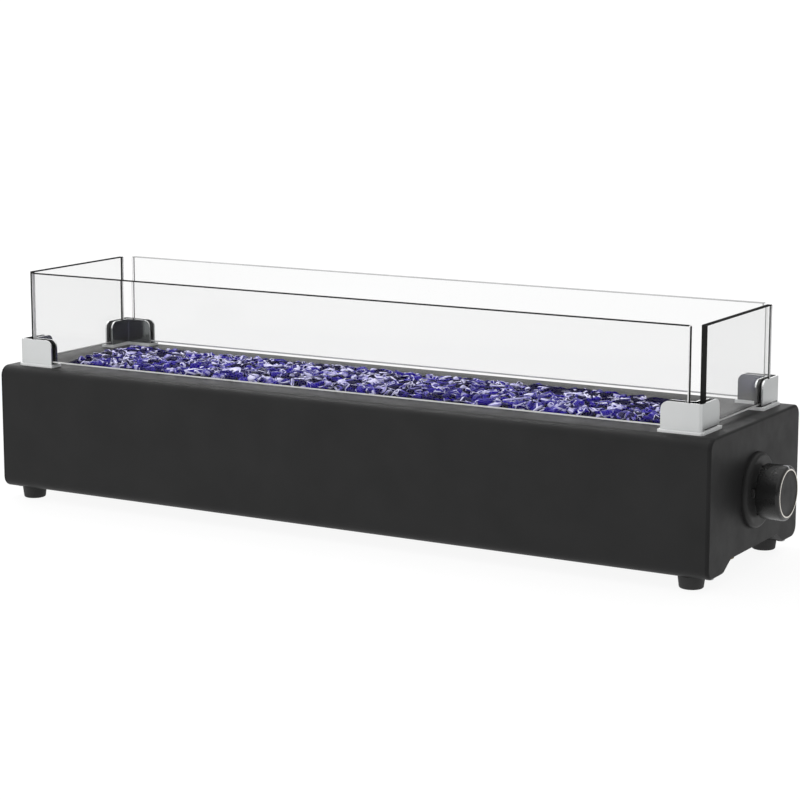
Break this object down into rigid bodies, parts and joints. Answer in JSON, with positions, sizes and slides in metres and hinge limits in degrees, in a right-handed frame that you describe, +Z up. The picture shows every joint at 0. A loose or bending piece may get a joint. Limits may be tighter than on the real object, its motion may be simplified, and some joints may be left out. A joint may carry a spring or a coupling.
{
  "type": "tabletop gas fire pit",
  "caption": "Long rectangular tabletop gas fire pit: painted steel casing, crushed glass bed over a pipe burner, clear glass wind guard in corner clips, and a push-and-turn gas knob.",
  "frame": {"origin": "bottom centre of the whole object, on the plane that the feet stand on", "axes": "+X along the casing towards the knob's end, +Y towards the rear, +Z up"},
  "size_m": [0.7398, 0.19, 0.2112],
  "materials": {
    "casing_paint": "satin black powder coat, fine grain",
    "stainless": "brushed, faintly heat tinted",
    "fastener_steel": "zinc plated",
    "clip_steel": "satin, lightly brushed",
    "brass": "machined",
    "valve_casting": "die cast",
    "riser_pipe": "drawn tube",
    "fire_glass": "crushed, cobalt blue with pale pieces",
    "guard_glass": "clear, tempered, polished edges",
    "foot_rubber": "moulded, matt",
    "liner_rubber": "extruded, matt",
    "knob_plastic": "moulded, satin",
    "bezel_plastic": "moulded, satin",
    "face_plastic": "spun finish",
    "ring_metal": "polished, champagne tint",
    "pointer_paint": "light grey filled line"
  },
  "bodies": {
    "housing": {"casing_wrap": "casing_paint", "left_end_panel": "casing_paint", "right_end_panel": "casing_paint", "base_plate": "casing_paint", "burner_tray": "stainless", "burner_tube": "stainless", "burner_end_caps": "stainless", "burner_saddles": "stainless", "mixer_tube": "stainless", "air_shutter": "stainless", "foot_screws": "fastener_steel", "foot_nuts": "fastener_steel", "end_panel_screws": "fastener_steel", "saddle_screws": "fastener_steel", "saddle_nuts": "fastener_steel", "shutter_screw": "fastener_steel", "valve_screws": "fastener_steel", "clip_screws": "fastener_steel", "valve_spring": "fastener_steel", "clip_front_left": "clip_steel", "clip_front_right": "clip_steel", "clip_rear_left": "clip_steel", "clip_rear_right": "clip_steel", "clip_inner_front_left": "clip_steel", "clip_inner_front_right": "clip_steel", "clip_inner_rear_left": "clip_steel", "clip_inner_rear_right": "clip_steel", "gas_jet": "brass", "pipe_nut": "brass", "inlet_elbow": "brass", "inlet_lock_nut": "brass", "valve_body": "valve_casting", "valve_bonnet": "valve_casting", "gas_pipe": "riser_pipe", "fire_glass_bed": "fire_glass", "foot_front_left": "foot_rubber", "foot_front_right": "foot_rubber", "foot_rear_left": "foot_rubber", "foot_rear_right": "foot_rubber", "glass_liners": "liner_rubber", "knob_bezel": "bezel_plastic"},
    "stem_slider": {"stem_washer": "fastener_steel"},
    "knob": {"valve_stem": "fastener_steel", "knob_body": "knob_plastic", "knob_ring": "ring_metal", "knob_face": "face_plastic", "knob_pointer": "pointer_paint"},
    "plug": {"valve_plug": "brass"},
    "front_glass": {"glass_front": "guard_glass"},
    "rear_glass": {"glass_rear": "guard_glass"},
    "left_glass": {"glass_left": "guard_glass"},
    "right_glass": {"glass_right": "guard_glass"}
  },
  "joints": [
    {"name": "knob_push", "type": "slide", "parent": "housing", "child": "stem_slider", "axis": [-1, 0, 0], "range_m": [0, 0.003], "stiffness_N_per_m": 600, "springref_m": -0.005, "deforming": ["valve_spring"]},
    {"name": "knob_turn", "type": "hinge", "parent": "stem_slider", "child": "knob", "pos_m": [0.3656, 0, 0.0679], "axis": [1, 0, 0], "range_deg": [0, 210]},
    {"name": "plug_turn", "type": "hinge", "parent": "housing", "child": "plug", "pos_m": [0.3016, 0, 0.0679], "axis": [1, 0, 0], "range_deg": [0, 210]},
    {"name": "front_glass_lift", "type": "slide", "parent": "housing", "child": "front_glass", "axis": [0, 0, 1], "range_m": [0, 0.03]},
    {"name": "rear_glass_lift", "type": "slide", "parent": "housing", "child": "rear_glass", "axis": [0, 0, 1], "range_m": [0, 0.03]},
    {"name": "left_glass_lift", "type": "slide", "parent": "housing", "child": "left_glass", "axis": [0, 0, 1], "range_m": [0, 0.03]},
    {"name": "right_glass_lift", "type": "slide", "parent": "housing", "child": "right_glass", "axis": [0, 0, 1], "range_m": [0, 0.03]}
  ],
  "couplings": [
    {"joint": "plug_turn", "follows": "knob_turn", "ratio": 1}
  ]
}
